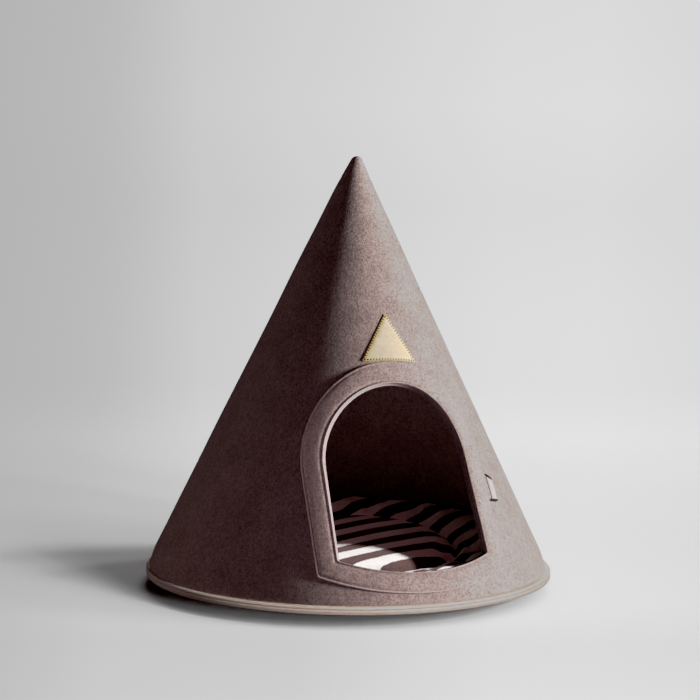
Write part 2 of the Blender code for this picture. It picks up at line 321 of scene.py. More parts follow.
def new_material(name, roughness, **fixed):
    """A material with these settings of its shader, and the object's own coordinates."""
    material = bpy.data.materials.new(name)
    material.use_nodes = True
    inputs = material.node_tree.nodes["Principled BSDF"].inputs
    inputs["Roughness"].default_value = roughness
    for key, value in fixed.items():
        inputs[key.replace("_", " ")].default_value = value
    return material, put("ShaderNodeTexCoord", "Object", {}, material.node_tree)


def coloured(material, colour, normal):
    tree = material.node_tree
    inputs = tree.nodes["Principled BSDF"].inputs
    tree.links.new(colour.socket, inputs["Base Color"])
    tree.links.new(normal.socket, inputs["Normal"])
    return material


# ---- Materials ----

FELT_LIGHT = (0.362, 0.277, 0.257)
FELT_DARK = (0.207, 0.158, 0.146)
FELT_FLECK = (0.070, 0.050, 0.046)
FELT_PALE = (0.50, 0.41, 0.385)
FIBRE_TURNS = ((0.3, 0.2, 0.0), (1.2, 0.5, 0.4), (0.4, 1.3, 1.1))


def make_felt(name, tone=1.0):
    """Heathered felt: pressed fibres of a few shades, in every direction, darkened as painted shade
    towards its outline.
    The attribute pale_and_painted_light makes an edge paler, and where it is negative darkens it as
    painted shade."""
    material, coords = new_material(name, 0.93, Sheen_Weight=0.08, Sheen_Roughness=0.5,
                                    Specular_IOR_Level=0.15)
    grain = noise_of(coords, 430, 4, 0.75, 0.3)
    tufts = noise_of(coords, 190, 3, 0.6, 0.4)
    dark, light = (tuple(tone * part for part in shade) for shade in (FELT_DARK, FELT_LIGHT))
    colour = mottled(grain * 0.76 + tufts * 0.24, dark, light, 0.38, 0.63)
    strands = [noise_of(turned(coords, turn, (1, 1, 0.16)), 900, 1.5, 0.6) for turn in FIBRE_TURNS]
    fibres = maths("MAXIMUM", maths("MAXIMUM", strands[0], strands[1]), strands[2])
    colour = blend(stretch(fibres, 0.63, 0.72) * 0.66, colour, FELT_FLECK)
    pale_fibres = noise_of(turned(coords, (0.9, 0.1, 0.7), (1, 0.2, 1)), 900, 1.0)
    colour = blend(stretch(pale_fibres, 0.66, 0.76) * 0.4, colour, FELT_PALE)
    clouds = stretch(noise_of(coords, 34, 3, 0.6), 0.3, 0.7, 0.91, 1.08)
    # Painted shade: the colour darkens by up to a fifth where the surface turns away from the view,
    # towards the outline.
    facing_for_painted_shade = put("ShaderNodeLayerWeight", "Facing", {"Blend": 0.5}, coords.tree)
    for shade in (clouds, stretch(facing_for_painted_shade, 0.35, 1.0, 1.0, 0.80)):
        grey = put("ShaderNodeCombineColor", 0, {0: shade, 1: shade, 2: shade})
        colour = blend(1.0, colour, grey, "MULTIPLY")
    # Paler cut edges, and painted light: negative values darken the doorway's right cut edge as painted
    # shade, and the surround's outer edge is lightened as a painted highlight.
    rim = attribute(coords.tree, "pale_and_painted_light")
    colour = blend(maths("MULTIPLY", rim, 0.6, clamp=True), colour, FELT_PALE)
    colour = blend(maths("MULTIPLY", rim, -0.62, clamp=True), colour, FELT_FLECK)
    soft = bump_of(tufts, 0.8 * MM, 0.5)
    return coloured(material, colour, bump_of(grain * 0.7 + fibres * 0.6, 0.6 * MM, 0.8, soft))


def make_cushion_cloth():
    """Woven cotton in broad light and dark stripes that run straight across the cushion."""
    material, coords = new_material("cushion_cloth", 0.88, Sheen_Weight=0.08, Specular_IOR_Level=0.2)
    index = (component(coords, 0) * (math.sin(STRIPE_ANGLE) / STRIPE_PITCH)
             + component(coords, 1) * (-math.cos(STRIPE_ANGLE) / STRIPE_PITCH)
             + (STRIPE_START + 0.5) + (noise_of(coords, 22, 2) - 0.5) * 0.07)
    from_line = maths("ABSOLUTE", maths("FRACT", index) - 0.5)
    yarn = noise_of(coords, 900, 2, 0.6)
    white = mottled(yarn, (0.66, 0.635, 0.62), (0.78, 0.76, 0.75))
    black = mottled(yarn, (0.052, 0.028, 0.026), (0.094, 0.056, 0.052))
    colour = mottled(from_line, white, black, 0.238, 0.262)
    weave = [put("ShaderNodeTexWave", "Fac", {"Vector": turned(coords, (0, 0, -turn), (1, 1, 1)),
                                              "Scale": 230.0, "Distortion": 1.5, "Detail": 1.0,
                                              "Detail Scale": 2.0})
             for turn in (STRIPE_ANGLE, STRIPE_ANGLE + math.pi / 2)]
    wrinkles = bump_of(noise_of(coords, 70), 1.2 * MM, 0.35)
    return coloured(material, colour, bump_of(maths("MAXIMUM", *weave), 0.12 * MM, 0.5, wrinkles))


# Depths of the crossed plies under the base's top, in mm
CROSSED_PLIES = ((2.3, 3.9), (5.9, 7.6))


def make_plywood():
    """Birch plywood: pale faces, and its crossed plies as lines around the edge."""
    material, coords = new_material("plywood", 0.58, Specular_IOR_Level=0.35)
    x, y, z = (component(coords, index) for index in range(3))
    depth = (BASE_TOP - z) * (1 / MM) + (noise_of(coords, 30) - 0.5) * 0.5
    bands = [stretch(depth, low - 0.15, low + 0.15) * stretch(depth, high + 0.15, high - 0.15)
             for low, high in CROSSED_PLIES]
    cross = bands[0] + bands[1]
    on_edge = stretch(maths("SQRT", x * x + y * y), BASE_RADIUS - 3.2 * MM, BASE_RADIUS - 1.6 * MM)
    grain = noise_of(turned(coords, (0, 0, 0.35), (6, 90, 90)), 9, 5, 0.65, 0.6)
    streaks = noise_of(turned(coords, (0, 0, 0), (60, 60, 900)), 2.5, 4, 0.65)
    face = mottled(grain, (0.40, 0.305, 0.245), (0.56, 0.46, 0.385))
    edge = blend(cross, mottled(streaks, (0.33, 0.27, 0.235), (0.48, 0.41, 0.37)),
                 mottled(streaks, (0.235, 0.185, 0.16), (0.33, 0.27, 0.235)))
    relief = grain * 0.4 + cross * on_edge * -0.8
    return coloured(material, blend(on_edge, face, edge), bump_of(relief, 0.25 * MM, 0.6))


def make_leather():
    """Cream leather, stained tan along one edge. The attribute edge_mm is how far a point lies
    from the rim and left_mm how far it lies from the stained side."""
    material, coords = new_material("leather", 0.6, Specular_IOR_Level=0.3)
    patina = noise_of(coords, 110, 4, 0.62)
    grain = noise_of(turned(coords, (0, 0.6, 0), (1, 1, 0.25)), 1300, 2)
    colour = mottled(patina * 0.5 + grain * 0.5, (0.64, 0.525, 0.275), (0.76, 0.65, 0.37), 0.35, 0.65)
    from_stain = attribute(coords.tree, "left_mm") + (patina - 0.5) * 9.0
    colour = blend(stretch(from_stain, 1.0, 7.0, 0.75, 0.0), colour, (0.40, 0.235, 0.085))
    from_edge = attribute(coords.tree, "edge_mm")
    colour = blend(stretch(from_edge, 0.15, 1.3, 0.5, 0.0), colour, (0.30, 0.18, 0.08))
    return coloured(material, colour, bump_of(grain + patina * 0.5, 0.12 * MM, 0.45))


# (first colour, second colour, roughness, fineness, relief)
YARNS = {
    "felt_thread": ((0.13, 0.092, 0.085), (0.22, 0.165, 0.152), 0.85, 2600, 0.05 * MM),
    "dark_thread": ((0.055, 0.038, 0.036), (0.11, 0.08, 0.076), 0.8, 2600, 0.05 * MM),
    "tan_thread": ((0.045, 0.022, 0.010), (0.10, 0.052, 0.022), 0.7, 2600, 0.05 * MM),
    # Black thread for the tape's end bars, which stand in as painted shade of slits.
    "black_slit_shade_thread": ((0.014, 0.009, 0.010), (0.035, 0.025, 0.026), 0.8, 2600, 0.05 * MM),
    "tape": ((0.37, 0.33, 0.315), (0.50, 0.455, 0.44), 0.85, 2200, 0.12 * MM),
}


def make_woven(name):
    first, second, roughness, fineness, relief = YARNS[name]
    material, coords = new_material(name, roughness, Specular_IOR_Level=0.2)
    yarn = noise_of(turned(coords, (0, 0, 0), (1, 1, 2.5)), fineness, 2)
    return coloured(material, mottled(yarn, first, second), bump_of(yarn, relief, 0.6))


def make_rubber():
    material, coords = new_material("rubber", 0.78, Specular_IOR_Level=0.3)
    dust = noise_of(coords, 260, 4, 0.6)
    colour = mottled(dust, (0.016, 0.016, 0.017), (0.045, 0.044, 0.043), 0.4, 0.75)
    return coloured(material, colour, bump_of(dust, 0.1 * MM, 0.4))


# ---- The felt cone as a surface that everything sewn to it follows ----

TIP_TANGENT = (TIP_ROUND + NIP_DEPTH * COS_HALF) * COS_HALF / SIN_HALF
TIP_POLE = TIP_TANGENT - TIP_ROUND * (math.pi / 2 - HALF_ANGLE)
TIP_RING_SEAMS = (36.8 * MM, 39.0 * MM)
UNEVENNESS = 0.45 * MM


def drawn_in_at(z):
    above_base = z - BASE_TOP
    if above_base < TUCK_HEIGHT:
        return TUCK_DEPTH * (1 - max(above_base, 0) / TUCK_HEIGHT) ** TUCK_POWER
    above_nip = z - (APEX_Z - NIP_HEIGHT)
    return NIP_DEPTH * (max(above_nip, 0) / NIP_HEIGHT) ** 2


def lean_at(z):
    share = (z - BASE_TOP) / CONE_HEIGHT
    shift = LEAN_AT_BASE + (LEAN_AT_APEX - LEAN_AT_BASE) * share
    tip_start = APEX_Z - TIP_LEAN_LENGTH
    if z > tip_start:
        shift += TIP_LEAN * ((z - tip_start) / TIP_LEAN_LENGTH) ** 2
    return LEAN_WAY * shift


def unevenness_at(point):
    """Small, broad swells of hand-made felt, none at its lower edge and its tip."""
    fade = (smooth_step(BASE_TOP, BASE_TOP + 50 * MM, point.z)
            * smooth_step(APEX_Z - 13 * MM, APEX_Z - 83 * MM, point.z))
    return UNEVENNESS * fade * noise.noise(point * 14 + Vector((3.1, 7.7, 1.3)))


def on_cone(u, v, offset):
    """Point of the flat pattern once the felt is rolled up, offset outwards from its face."""
    return on_cone_at(math.atan2(u, v) / SIN_HALF, math.hypot(u, v), offset)


def on_cone_at(azimuth, slant, offset):
    outwards = Vector((math.sin(azimuth), -math.cos(azimuth), 0))
    if slant >= TIP_TANGENT:
        z = APEX_Z - slant * COS_HALF
        normal = outwards * COS_HALF + Vector((0, 0, SIN_HALF))
        place = outwards * (slant * SIN_HALF - drawn_in_at(z)) + Vector((0, 0, z))
        return lean_at(z) + place + normal * (offset + unevenness_at(place))
    elevation = HALF_ANGLE + (TIP_TANGENT - slant) / TIP_ROUND
    reach = TIP_ROUND + offset
    tangent_z = APEX_Z - TIP_TANGENT * COS_HALF
    edge_gap = TIP_TANGENT * SIN_HALF - drawn_in_at(tangent_z) - TIP_ROUND * COS_HALF
    share = (slant - TIP_POLE) / (TIP_TANGENT - TIP_POLE)
    z = tangent_z - TIP_ROUND * SIN_HALF + reach * math.sin(elevation)
    radius = reach * math.cos(elevation) + edge_gap * share
    return lean_at(z) + outwards * radius + Vector((0, 0, z))


def normal_at(azimuth, slant):
    return (on_cone_at(azimuth, slant, 1 * MM) - on_cone_at(azimuth, slant, 0)).normalized()


def door_outline(grow, sill_grow, corner, lean=DOOR_LEAN, sill_curve=SILL_RADIUS,
                 arch_steps=20, side_steps=6, corner_steps=3, sill_steps=10):
    """Closed outline around the doorway, from its top and down the +u side first."""
    half_width = DOOR_HALF_WIDTH + grow
    rise = DOOR_ARCH_RISE + grow
    sill_radius = sill_curve + sill_grow
    sill_centre_v = SILL_V - sill_curve
    # The lower corner's centre, as far from the sloping side as from the curved sill
    at_spring = half_width - corner * math.hypot(1, DOOR_SPREAD)
    fall = SPRING_V - sill_centre_v
    a = 1 + DOOR_SPREAD ** 2
    b = at_spring * DOOR_SPREAD + fall
    c = at_spring ** 2 + fall ** 2 - (sill_radius - corner) ** 2
    drop = (-b + math.sqrt(b * b - a * c)) / a
    centre = (at_spring + DOOR_SPREAD * drop, SPRING_V + drop)
    side_angle = math.pi / 2 - math.atan(DOOR_SPREAD)
    sill_angle = math.pi - math.atan2(centre[0], centre[1] - sill_centre_v)
    half = []
    for i in range(arch_steps):
        angle = math.pi / 2 * i / arch_steps
        half.append((half_width * math.sin(angle), SPRING_V - rise * math.cos(angle)))
    round_points = arc(centre, corner, side_angle, sill_angle, corner_steps)
    half += [part_way((half_width, SPRING_V), round_points[0], i / side_steps)
             for i in range(side_steps)]
    half += round_points
    half += arc((0, sill_centre_v), sill_radius, sill_angle, math.pi, sill_steps)[1:]
    other = [(-u, v) for u, v in reversed(half[1:-1])]
    return [(u + lean * max(v - SPRING_V, 0), v) for u, v in half + other]


def flat_area(outline):
    return abs(sum(u * next_v - next_u * v for (u, v), (next_u, next_v) in round_pairs(outline))) / 2


def inside_outline(u, v, outline):
    """True where the point lies within the closed outline."""
    inside = False
    for (u2, v2), (u1, v1) in round_pairs(outline):
        if (v1 > v) != (v2 > v) and u < (u2 - u1) * (v - v1) / (v2 - v1) + u1:
            inside = not inside
    return inside


# ---- Felt cone ----

CONE_COLUMNS = 288
DOOR_ZONE_COLUMNS = 27
DOOR_ZONE_ROWS = 48
DOOR_ZONE = (256 * MM, 496 * MM)
RING_GAP = 2.2 * MM
HAIR = 1e-6
BACK_SEAM_WIDTH = 1.5 * MM
BACK_SEAM_DEPTH = 1.1 * MM
TIP_SEAM_WIDTH = 0.45 * MM
TIP_SEAM_DEPTH = 0.4 * MM
CONE_STEPS = dict(arch_steps=44, side_steps=34, corner_steps=5, sill_steps=28)
# How an edge turns from the outer face to the inner one: (distance from the cut, depth).
# The doorway is cut on a slight slant, so that it is smaller on the inside.
DOOR_CUT = ((0.9, 0.0), (0.5, 0.1), (0.2, 0.35), (0.0, 0.75), (-0.25, 1.3), (-0.9, 2.7),
            (-1.05, 3.25), (-0.95, 3.65), (-0.6, 3.9), (-0.1, 4.0))
HEM_CUT = ((0.9, 0.0), (0.5, 0.1), (0.2, 0.35), (0.04, 0.75), (0.0, 1.3), (0.0, 2.7),
           (0.04, 3.25), (0.2, 3.65), (0.5, 3.9), (0.9, 4.0))


def cone_rows():
    """Distances from the apex of the rows of points, closer together where the felt curves,
    and the distance of the felt's lower edge."""
    rows = [TIP_POLE + (TIP_TANGENT - TIP_POLE) * i / 5 for i in range(1, 6)]
    rows += [slant * MM for slant in (16, 19, 22, 26, 30, 33, 35.6)]
    for seam in TIP_RING_SEAMS:
        rows += [seam - 0.5 * MM, seam, seam + 0.5 * MM]
    rows += [slant * MM for slant in (41, 44, *range(48, 256, 5))]
    start, end = DOOR_ZONE
    rows += [start + (end - start) * i / DOOR_ZONE_ROWS for i in range(DOOR_ZONE_ROWS + 1)]
    last = (APEX_Z - BASE_TOP - CLEARANCE) / COS_HALF
    left = last - HEM_CUT[0][0] * MM - end
    rows += [end + left * i / 6 for i in range(1, 7)]
    return rows, last


def cone_columns():
    """Azimuths of the columns from one side of the back seam round to the other."""
    step = 2 * math.pi / CONE_COLUMNS
    close = [math.radians(angle) for angle in (0.0, 0.15, 0.4, 0.75)]
    return ([-math.pi + angle for angle in close]
            + [-math.pi + step * i for i in range(1, CONE_COLUMNS)]
            + [math.pi - angle for angle in reversed(close)])


def face_depth(azimuth, slant):
    """How far the outer face dips where the felt's edges meet at the back, and at the tip."""
    to_seam = (math.pi - abs(azimuth)) * slant * SIN_HALF
    dip = BACK_SEAM_DEPTH * math.exp(-(to_seam / BACK_SEAM_WIDTH) ** 2)
    for seam in TIP_RING_SEAMS:
        dip += TIP_SEAM_DEPTH * math.exp(-((slant - seam) / TIP_SEAM_WIDTH) ** 2)
    return dip


def door_zone_triangles(rows, columns, inset):
    """Flat triangles between the doorway's cut and the regular rows and columns around it."""
    def flat_point(azimuth, slant):
        return slant * math.sin(azimuth * SIN_HALF), slant * math.cos(azimuth * SIN_HALF)

    cut, next_to_cut = (door_outline(grow, grow, DOOR_CORNER + grow, **CONE_STEPS)
                        for grow in (inset, inset + RING_GAP))
    clear = inset + 2 * RING_GAP
    clear_of_rings = door_outline(clear, clear, DOOR_CORNER + clear)
    rim = ([(c, rows[0]) for c in columns] + [(columns[-1], r) for r in rows[1:]]
           + [(c, rows[-1]) for c in reversed(columns[:-1])]
           + [(columns[0], r) for r in reversed(rows[1:-1])])
    flat = []
    edges = []
    for loop in (cut, next_to_cut, [flat_point(c, r) for c, r in rim]):
        places = list(range(len(flat), len(flat) + len(loop)))
        edges += round_pairs(places)
        flat += loop
    for c in columns[1:-1]:
        for r in rows[1:-1]:
            point = flat_point(c, r)
            if not inside_outline(*point, clear_of_rings):
                flat.append(point)
    points, _, faces, *_ = geometry.delaunay_2d_cdt([Vector(p) for p in flat], edges, [], 1, 1e-7)
    kept = []
    for face in faces:
        middle = [sum(points[i][axis] for i in face) / 3 for axis in (0, 1)]
        if not inside_outline(*middle, cut):
            kept.append(face)
    return points, kept


def add_cone_side(bm, depth, rows, columns, zone_rows, zone_columns, points, triangles):
    """One face of the felt, depth below its outer face: the triangles around the doorway, and
    the regular rows and columns outside that zone."""
    (top, bottom), (left, right) = ((zone[0], zone[-1]) for zone in (zone_rows, zone_columns))
    grid = {}
    for i, slant in enumerate(rows):
        for j, azimuth in enumerate(columns):
            if not (top < i < bottom and left < j < right):
                dip = face_depth(azimuth, slant) if depth == 0 else 0
                grid[i, j] = bm.verts.new(on_cone_at(azimuth, slant, -depth - dip))
    for i in range(len(rows) - 1):
        for j in range(len(columns) - 1):
            if not (top <= i < bottom and left <= j < right):
                bm.faces.new([grid[c] for c in ((i, j), (i, j + 1), (i + 1, j + 1), (i + 1, j))])
    pole = bm.verts.new(on_cone_at(0, TIP_POLE, -depth))
    for j in range(len(columns) - 1):
        bm.faces.new((grid[0, j], grid[0, j + 1], pole))
    verts = [bm.verts.new(on_cone(*point, -depth)) for point in points]
    for face in triangles:
        bm.faces.new([verts[i] for i in face])


def edge_pale_and_painted_shade(u):
    """The doorway's cut edge: fresh and paler on the left, and darkened on the right as painted shade,
    where the edge faces away from the light.
    """
    return 1 - 2.1 * smooth_step(-5 * MM, 35 * MM, u)


def make_cone(material):
    rows, last = cone_rows()
    columns = cone_columns()
    reach = 2 * math.pi / CONE_COLUMNS * DOOR_ZONE_COLUMNS + HAIR
    zone_rows = [i for i, r in enumerate(rows) if DOOR_ZONE[0] - HAIR <= r <= DOOR_ZONE[1] + HAIR]
    zone_columns = [j for j, c in enumerate(columns) if abs(c) <= reach]
    bm = bmesh.new()
    pale_and_painted_light = bm.verts.layers.float.new("pale_and_painted_light")
    for depth, (inset, _) in ((0, DOOR_CUT[0]), (WALL, DOOR_CUT[-1])):
        zone = door_zone_triangles([rows[i] for i in zone_rows], [columns[j] for j in zone_columns],
                                   inset * MM)
        add_cone_side(bm, depth, rows, columns, zone_rows, zone_columns, *zone)
    door_rings = []
    for k, (inset, depth) in enumerate(DOOR_CUT):
        outline = door_outline(inset * MM, inset * MM, DOOR_CORNER + inset * MM, **CONE_STEPS)
        door_rings.append([bm.verts.new(on_cone(u, v, -depth * MM)) for u, v in outline])
        # Paler cut edge on the left, painted shade on the right.
        if 2 <= k < len(DOOR_CUT) - 2:
            for vertex, (u, v) in zip(door_rings[-1], outline):
                vertex[pale_and_painted_light] = edge_pale_and_painted_shade(u)
    hem_rings = []
    for inset, depth in HEM_CUT:
        slant = last - inset * MM
        dips = [face_depth(azimuth, slant) if depth < 2 else 0 for azimuth in columns[:-1]]
        hem_rings.append([bm.verts.new(on_cone_at(azimuth, slant, -depth * MM - dip))
                          for azimuth, dip in zip(columns, dips)])
    skin(bm, door_rings)
    skin(bm, hem_rings)
    bmesh.ops.remove_doubles(bm, verts=bm.verts, dist=0.03 * MM)
    cone = finish_mesh("felt_cone", bm, material)
    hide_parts("cone_shell")
    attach(cone, "root")
    sector = SIN_HALF * 2 * math.pi
    cut = sector / 2 * SLANT ** 2 - flat_area(door_outline(0, 0, DOOR_CORNER, **CONE_STEPS))


# ---- Thread ----

# A stitch along its length: (place, thickness, drop), as shares of its half length and height
STITCH_RINGS = ((-1.0, 0.25, -0.9), (-0.86, 0.75, -0.35), (-0.4, 1.0, 0.0), (0.4, 1.0, 0.0),
                (0.86, 0.75, -0.35), (1.0, 0.25, -0.9))
STITCH_SIDES = 6
BACK_STITCH_PITCH = 7 * MM


def make_stitches(name, stitches, width, height, thread):
    """One mesh of rounded stitches, each (middle, direction, normal, length), whose ends dip
    into the cloth."""
    angles = [2 * math.pi * k / STITCH_SIDES for k in range(STITCH_SIDES)]
    bm = bmesh.new()
    for middle, direction, normal, length in stitches:
        across = direction.cross(normal).normalized()
        rings = []
        for along, size, drop in STITCH_RINGS:
            centre = middle + direction * (along * length / 2) + normal * (drop * height)
            rings.append([bm.verts.new(centre + across * (size * width / 2 * math.cos(angle))
                                       + normal * (size * height / 2 * math.sin(angle)))
                          for angle in angles])
        skin(bm, rings)
        bm.faces.new(rings[0][::-1])
        bm.faces.new(rings[-1])
    return finish_mesh(name, bm, make_woven(thread), sharp_angle=80)


def along_outline(outline, pitch, start=0.0):
    """((u, v), direction) every pitch along a closed outline."""
    sides = list(round_pairs(outline))
    lengths = [math.dist(*side) for side in sides]
    total = sum(lengths)
    count = round(total / pitch)
    found = []
    i = 0
    passed = 0.0
    for k in range(count):
        at = (k + start) * total / count
        while at > passed + lengths[i]:
            passed += lengths[i]
            i += 1
        (u0, v0), (u1, v1) = sides[i]
        found.append((part_way(*sides[i], (at - passed) / lengths[i]),
                      ((u1 - u0) / lengths[i], (v1 - v0) / lengths[i])))
    return found


def stitches_on_cone(places, height, length, turn=0.0):
    """Stitches at flat places, each turned from its direction, height above the cone's face."""
    made = []
    for (u, v), (du, dv) in places:
        au, av = tilted(du, dv, (0, 0), turn)
        middle = on_cone(u, v, height)
        ahead = on_cone(u + au * MM, v + av * MM, height)
        normal = normal_at(math.atan2(u, v) / SIN_HALF, math.hypot(u, v))
        made.append((middle, (ahead - middle).normalized(), normal, length))
    return made


def make_back_stitches():
    """A row of plain stitches across the joint of the felt at the back."""
    stitches = []
    slant = 60 * MM
    while slant < SLANT - 8 * MM:
        normal = normal_at(math.pi, slant)
        across = Vector((1, 0, 0))
        slope = normal.cross(across).normalized() * 0.35
        stitches.append((on_cone_at(math.pi, slant, 0.1 * MM), (across + slope).normalized(), normal,
                         6.2 * MM))
        slant += BACK_STITCH_PITCH
    sewing = make_stitches("back_stitches", stitches, 0.7 * MM, 0.5 * MM, "dark_thread")
    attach(sewing, "root")


# ---- Felt surround of the doorway ----

SURROUND_STEPS = dict(arch_steps=150, side_steps=110, corner_steps=12, sill_steps=90)
STITCH_PITCH = 3.6 * MM
# (distance from the inner edge, height over the cone's face) of the two rows of sewing
STITCH_ROWS = ((2.5, 2.35), (21.7, 2.2))
# The same once round the section
SURROUND_PROFILE = ((1.2, 0.12), (0.4, 0.14), (0.06, 0.4), (0.0, 0.9), (0.14, 2.2), (0.3, 2.8),
                    (0.55, 3.12), (0.9, 3.22), (1.3, 3.05), (1.75, 2.65), (2.15, 2.32), (2.5, 2.22),
                    (2.95, 2.3), (3.6, 2.62), (4.4, 2.98), (5.3, 3.28), (6.4, 3.48), (9.0, 3.56),
                    (12.25, 3.56), (16.0, 3.52), (18.6, 3.4), (19.6, 3.2), (20.3, 2.86), (20.8, 2.5),
                    (21.3, 2.2), (21.7, 2.1), (22.1, 2.22), (22.6, 2.55), (23.1, 2.8), (23.6, 2.82),
                    (24.0, 2.7), (24.3, 2.35), (24.45, 1.7), (24.5, 0.9), (24.45, 0.35),
                    (24.3, 0.12), (16.0, 0.12), (8.0, 0.12))
# Distances in mm from the inner edge that carry pale_and_painted_light: the inner rim's paler cut edge,
# with painted shade on its right, and the outer rim's paler cut edge, brightened as a painted highlight
# most at the lower left.
PALE_AND_SHADED_INNER_RIM = (0.0, 0.7)
PALE_AND_HIGHLIGHT_OUTER_RIM = (22.5, 24.2)
OUTER_GROOVE = (18.0, 23.8)
SURROUND_TOP = 3.4 * MM
UPPER_FACE = 2.4


def surround_outline(distance):
    """Outline at a distance in mm from the doorway's edge, on the width of the arch."""
    share = distance * MM / SURROUND_WIDTH
    corner = DOOR_CORNER + (SURROUND_CORNER - DOOR_CORNER) * share
    lean = DOOR_LEAN + (SURROUND_LEAN - DOOR_LEAN) * share
    sill_curve = SILL_RADIUS + (SURROUND_SILL_RADIUS - SILL_RADIUS) * share
    return door_outline(distance * MM, SURROUND_SILL_WIDTH * share, corner, lean, sill_curve,
                        **SURROUND_STEPS)


def outer_tightness(u, v):
    """How deep the outer row of sewing draws in: most at the lower left, hardly over the arch."""
    left = smooth_step(20 * MM, -60 * MM, u)
    low = smooth_step(280 * MM, 430 * MM, v) * smooth_step(75 * MM, -10 * MM, u)
    return min(0.12 + 0.5 * left + 0.6 * low, 1.0)


def make_surround(material):
    inner = surround_outline(0)
    outer = surround_outline(SURROUND_WIDTH / MM)
    bm = bmesh.new()
    pale_and_painted_light = bm.verts.layers.float.new("pale_and_painted_light")
    rings = []
    for distance, height in SURROUND_PROFILE:
        ring = []
        for here, there in zip(inner, outer):
            u, v = part_way(here, there, distance * MM / SURROUND_WIDTH)
            lift = height * MM
            if height > UPPER_FACE:
                lift += 0.22 * MM * noise.noise(Vector((u, v, 0)) * 90)
            if OUTER_GROOVE[0] < distance < OUTER_GROOVE[1]:
                loose = 1 - outer_tightness(u, v)
                lift += (SURROUND_TOP - lift) * loose * (0.85 if distance < 23 else 0.3)
            vertex = bm.verts.new(on_cone(u, v, lift))
            if PALE_AND_SHADED_INNER_RIM[0] <= distance <= PALE_AND_SHADED_INNER_RIM[1]:
                vertex[pale_and_painted_light] = edge_pale_and_painted_shade(u)
            elif PALE_AND_HIGHLIGHT_OUTER_RIM[0] <= distance <= PALE_AND_HIGHLIGHT_OUTER_RIM[1]:
                # Paler cut felt, and a painted highlight that follows how tightly the sewing draws in:
                # most at the lower left, little over the arch.
                vertex[pale_and_painted_light] = 0.8 * outer_tightness(u, v)
            ring.append(vertex)
        rings.append(ring)
    skin(bm, rings + rings[:1])
    surround = finish_mesh("door_surround_felt", bm, material)
    stitches = []
    for distance, height in STITCH_ROWS:
        places = along_outline(surround_outline(distance), STITCH_PITCH)
        stitches += stitches_on_cone(places, height * MM, STITCH_PITCH * 0.78)
    sewing = make_stitches("surround_stitches", stitches, 0.5 * MM, 0.34 * MM, "felt_thread")
    sewing.parent = surround
    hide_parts("door_surround")
    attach(surround, "root")
    us, vs = zip(*outer)
    size = (max(us) - min(us), max(vs) - min(vs))
    area = flat_area(outer) - flat_area(inner)
    return surround


# ---- Leather triangle ----

PATCH_STITCH_PITCH = 3.1 * MM
# (distance from the edge, height over the cone's face), from under the rim to the middle
PATCH_RIM = ((1.0, 0.12), (0.3, 0.14), (0.05, 0.3), (0.0, 0.6), (0.06, 0.9), (0.25, 1.12),
             (0.6, 1.24), (1.1, 1.3), (1.7, 1.3), (2.2, 1.26), (2.7, 1.3), (3.4, 1.37), (4.4, 1.4),
             (6.0, 1.4), (8.5, 1.4), (11.0, 1.4), (13.5, 1.4), (16.0, 1.4))


def triangle_outline(inset, side_steps=36, corner_steps=8):
    """Round-cornered triangle, inset all round, as a closed outline on the flat pattern."""
    corner = max(PATCH_CORNER - inset, 0.5 * MM)
    radius = PATCH_HEIGHT * 2 / 3 - 2 * (inset + corner)
    sixth = math.pi / 3
    corners = []
    for angle in (0, 2 * sixth, 4 * sixth):
        centre = arc(PATCH_MIDDLE, radius, angle, angle, 1)[0]
        corners.append(arc(centre, corner, angle - sixth, angle + sixth, corner_steps))
    points = []
    for this, following in round_pairs(corners):
        points += this
        points += [part_way(this[-1], following[0], i / side_steps) for i in range(1, side_steps)]
    return [tilted(u, v, PATCH_PIVOT, PATCH_TILT) for u, v in points]


def from_left_side(u, v):
    """Distance in mm of a flat place from the triangle's left side."""
    level_u, level_v = tilted(u, v, PATCH_PIVOT, -PATCH_TILT)
    side = math.radians(60)
    return ((level_u - (PATCH_U - PATCH_SIDE / 2)) * math.sin(side)
            + (level_v - PATCH_BASE_V) * math.cos(side)) / MM


def make_patch(material):
    bm = bmesh.new()
    edge_mm = bm.verts.layers.float.new("edge_mm")
    left_mm = bm.verts.layers.float.new("left_mm")

    def point(u, v, height, from_edge, from_left):
        vertex = bm.verts.new(on_cone(u, v, height))
        vertex[edge_mm] = from_edge
        vertex[left_mm] = from_left
        return vertex

    middle = tilted(*PATCH_MIDDLE, PATCH_PIVOT, PATCH_TILT)
    from_sides = PATCH_HEIGHT / 3 / MM
    rings = [[point(*middle, CLEARANCE, from_sides, from_sides)]]
    for inset, height in PATCH_RIM:
        rings.append([point(u, v, height * MM, inset, from_left_side(u, v))
                      for u, v in triangle_outline(inset * MM)])
    rings.append([point(*middle, PATCH_RIM[-1][1] * MM, from_sides, from_sides)])
    skin(bm, rings)
    patch = finish_mesh("leather_triangle", bm, material)
    places = along_outline(triangle_outline(1.6 * MM), PATCH_STITCH_PITCH, start=0.5)
    stitches = stitches_on_cone(places, 1.4 * MM, 2.3 * MM, turn=math.pi / 2)
    sewing = make_stitches("triangle_stitches", stitches, 1.25 * MM, 0.6 * MM, "tan_thread")
    sewing.parent = patch
    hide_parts("leather_patch")
    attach(patch, "root")
    flat_area(triangle_outline(0))


# ---- Tape beside the doorway, with bars of black thread at both ends as painted shade of the slits it goes through ----

TAG_COLUMNS = 10
TAG_ROWS = 24
TAG_RIM_DROP = 0.6 * MM
TAG_ARCH = 0.25 * MM
SLIT_SHADE_HEIGHT = 1.45 * MM
SLIT_SHADE_THREADS = 10
# Each end's bar of black thread, painted shade for a slit where the tape goes into the felt (no slit is
# cut), on the flat pattern, from one point to the other, in mm
SLIT_SHADE_BARS = (((115.1, 369.9), (124.4, 373.3)), ((113.9, 399.0), (126.5, 397.2)))


